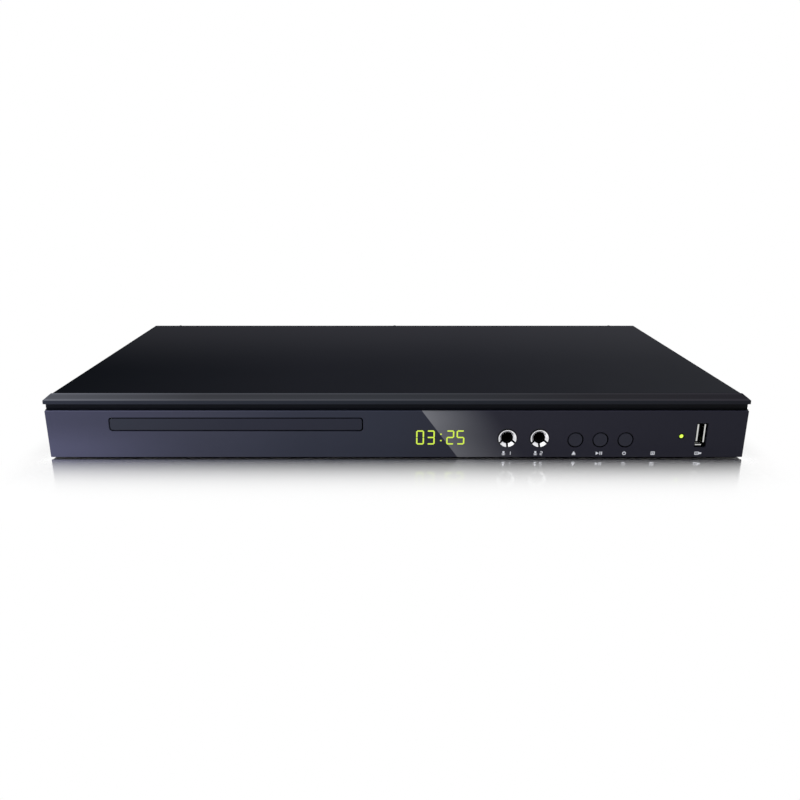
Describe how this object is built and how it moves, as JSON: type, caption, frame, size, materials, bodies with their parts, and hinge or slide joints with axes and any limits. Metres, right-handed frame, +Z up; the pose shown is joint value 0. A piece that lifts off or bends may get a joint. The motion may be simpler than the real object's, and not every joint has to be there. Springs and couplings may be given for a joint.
{
  "type": "disc player",
  "caption": "Flat disc player with a motor-driven tray, lit clock, microphone sockets, push buttons, USB port and rear sockets.",
  "frame": {"origin": "middle of the player's outline, on the surface that its feet stand on", "axes": "+X to the right seen from the front, +Y to the back, +Z up; the front faces -Y"},
  "size_m": [0.43, 0.2298, 0.039],
  "materials": {
    "bare_aluminium": "extruded",
    "belt_rubber": "matte",
    "black_plastic": "moulded black",
    "black_steel": "fine satin black paint",
    "capacitor_sleeve": "printed sleeve, bare top",
    "chrome_nut": "mirror chrome",
    "circuit_board": "green solder mask",
    "dark_button": "satin black",
    "dark_trim": "satin dark grey",
    "ferrite": "dark ferrite and tape",
    "foot_rubber": "matte",
    "jack_body": "moulded black",
    "jack_insulator": "coloured by channel",
    "lamp_lens": "lit yellow-green",
    "motor_can": "drawn can",
    "nickel_shell": "bright nickel",
    "pickup_glass": "coated lens",
    "pickup_metal": "die cast",
    "polished_rod": "ground and polished",
    "smoked_acrylic": "smooth blue-black",
    "tray_plastic": "fine-grained black",
    "white_gear": "natural acetal",
    "zinc_sheet": "zinc-plated sheet"
  },
  "bodies": {
    "housing": {"board_capacitors": "capacitor_sleeve", "board_chips": "black_plastic", "chassis_pan": "zinc_sheet", "clamper_bridge": "zinc_sheet", "display_board": "circuit_board", "display_module": "black_plastic", "display_segments": "lamp_lens", "drive_belt": "belt_rubber", "foot_1": "foot_rubber", "foot_2": "foot_rubber", "foot_3": "foot_rubber", "foot_4": "foot_rubber", "front_lens": "smoked_acrylic", "front_panel": "black_plastic", "hdmi_shell": "nickel_shell", "hdmi_tongue": "black_plastic", "inlet_pins": "nickel_shell", "key_board": "circuit_board", "key_switches": "black_plastic", "loader_frame": "black_plastic", "loading_motor": "motor_can", "main_board": "circuit_board", "mains_inlet": "black_plastic", "mic_board": "circuit_board", "mic_jack_1": "jack_body", "mic_jack_2": "jack_body", "mic_nut_1": "chrome_nut", "mic_nut_2": "chrome_nut", "phono_barrels": "nickel_shell", "phono_block": "black_plastic", "phono_inserts": "jack_insulator", "power_board": "circuit_board", "power_heatsink": "bare_aluminium", "power_transformer": "ferrite", "rear_panel": "black_steel", "status_led": "lamp_lens", "top_cover": "black_steel", "top_trim": "dark_trim", "usb_shell": "nickel_shell", "usb_tongue": "black_plastic"},
    "tray": {"disc_tray": "tray_plastic", "tray_door": "smoked_acrylic"},
    "tray_gear": {"tray_gear": "white_gear"},
    "pulley_gear": {"pulley_gear": "white_gear"},
    "motor_pulley": {"motor_pulley": "white_gear"},
    "cam_slider": {"cam_slider": "white_gear"},
    "traverse": {"traverse_frame": "black_plastic", "guide_rods": "polished_rod", "spindle_motor": "motor_can", "sled_motor": "motor_can"},
    "turntable": {"turntable": "black_plastic"},
    "pickup_sled": {"pickup_sled": "pickup_metal"},
    "pickup_lens": {"pickup_lens": "pickup_glass"},
    "sled_screw": {"sled_screw": "polished_rod"},
    "clamp_puck": {"clamp_puck": "white_gear"},
    "eject_button": {"eject_button": "dark_button"},
    "play_button": {"play_button": "dark_button"},
    "power_button": {"power_button": "dark_button"}
  },
  "joints": [
    {"name": "tray_slide", "type": "slide", "parent": "housing", "child": "tray", "axis": [0, -1, 0], "range_m": [0, 0.135]},
    {"name": "tray_gear_spin", "type": "hinge", "parent": "housing", "child": "tray_gear", "pos_m": [-0.0586, -0.0911, 0.015], "axis": [0, 0, 1], "range_deg": [-774.49, 0]},
    {"name": "pulley_gear_spin", "type": "hinge", "parent": "housing", "child": "pulley_gear", "pos_m": [-0.0756, -0.0911, 0.015], "axis": [0, 0, 1], "range_deg": [0, 1105.99]},
    {"name": "motor_pulley_spin", "type": "hinge", "parent": "housing", "child": "motor_pulley", "pos_m": [-0.1126, -0.0931, 0.015], "axis": [0, 0, 1], "range_deg": [0, 5249.7]},
    {"name": "traverse_tilt", "type": "hinge", "parent": "housing", "child": "traverse", "pos_m": [-0.0986, 0.0589, 0.015], "axis": [-1, 0, 0], "range_deg": [0, 3.6]},
    {"name": "cam_slide", "type": "slide", "parent": "housing", "child": "cam_slider", "axis": [-1, 0, 0], "range_m": [0, 0.0201]},
    {"name": "turntable_spin", "type": "hinge", "parent": "traverse", "child": "turntable", "pos_m": [-0.0986, -0.04521, 0.01346], "axis": [0, -0.0628, 0.998], "continuous": true},
    {"name": "sled_slide", "type": "slide", "parent": "traverse", "child": "pickup_sled", "axis": [0, 0.998, 0.0628], "range_m": [0, 0.035]},
    {"name": "sled_screw_spin", "type": "hinge", "parent": "traverse", "child": "sled_screw", "pos_m": [-0.0656, -0.00505, 0.01218], "axis": [0, 0.998, 0.0628], "range_deg": [0, 4201]},
    {"name": "lens_focus", "type": "slide", "parent": "pickup_sled", "child": "pickup_lens", "axis": [0, -0.0628, 0.998], "range_m": [-0.0004, 0.0004], "stiffness_N_per_m": 40},
    {"name": "puck_spin", "type": "hinge", "parent": "housing", "child": "clamp_puck", "pos_m": [-0.0986, -0.0451, 0.029], "axis": [0, 0, 1], "continuous": true},
    {"name": "eject_press", "type": "slide", "parent": "housing", "child": "eject_button", "axis": [0, 1, 0], "range_m": [0, 0.0006], "stiffness_N_per_m": 800},
    {"name": "play_press", "type": "slide", "parent": "housing", "child": "play_button", "axis": [0, 1, 0], "range_m": [0, 0.0006], "stiffness_N_per_m": 800},
    {"name": "power_press", "type": "slide", "parent": "housing", "child": "power_button", "axis": [0, 1, 0], "range_m": [0, 0.0006], "stiffness_N_per_m": 800}
  ],
  "couplings": [
    {"joint": "tray_gear_spin", "follows": "tray_slide", "rad_per_m": -100},
    {"joint": "pulley_gear_spin", "follows": "tray_slide", "rad_per_m": 142.86},
    {"joint": "motor_pulley_spin", "follows": "tray_slide", "rad_per_m": 678.57},
    {"joint": "cam_slide", "follows": "traverse_tilt", "m_per_rad": 0.31831},
    {"joint": "sled_screw_spin", "follows": "sled_slide", "rad_per_m": 2094.4}
  ]
}
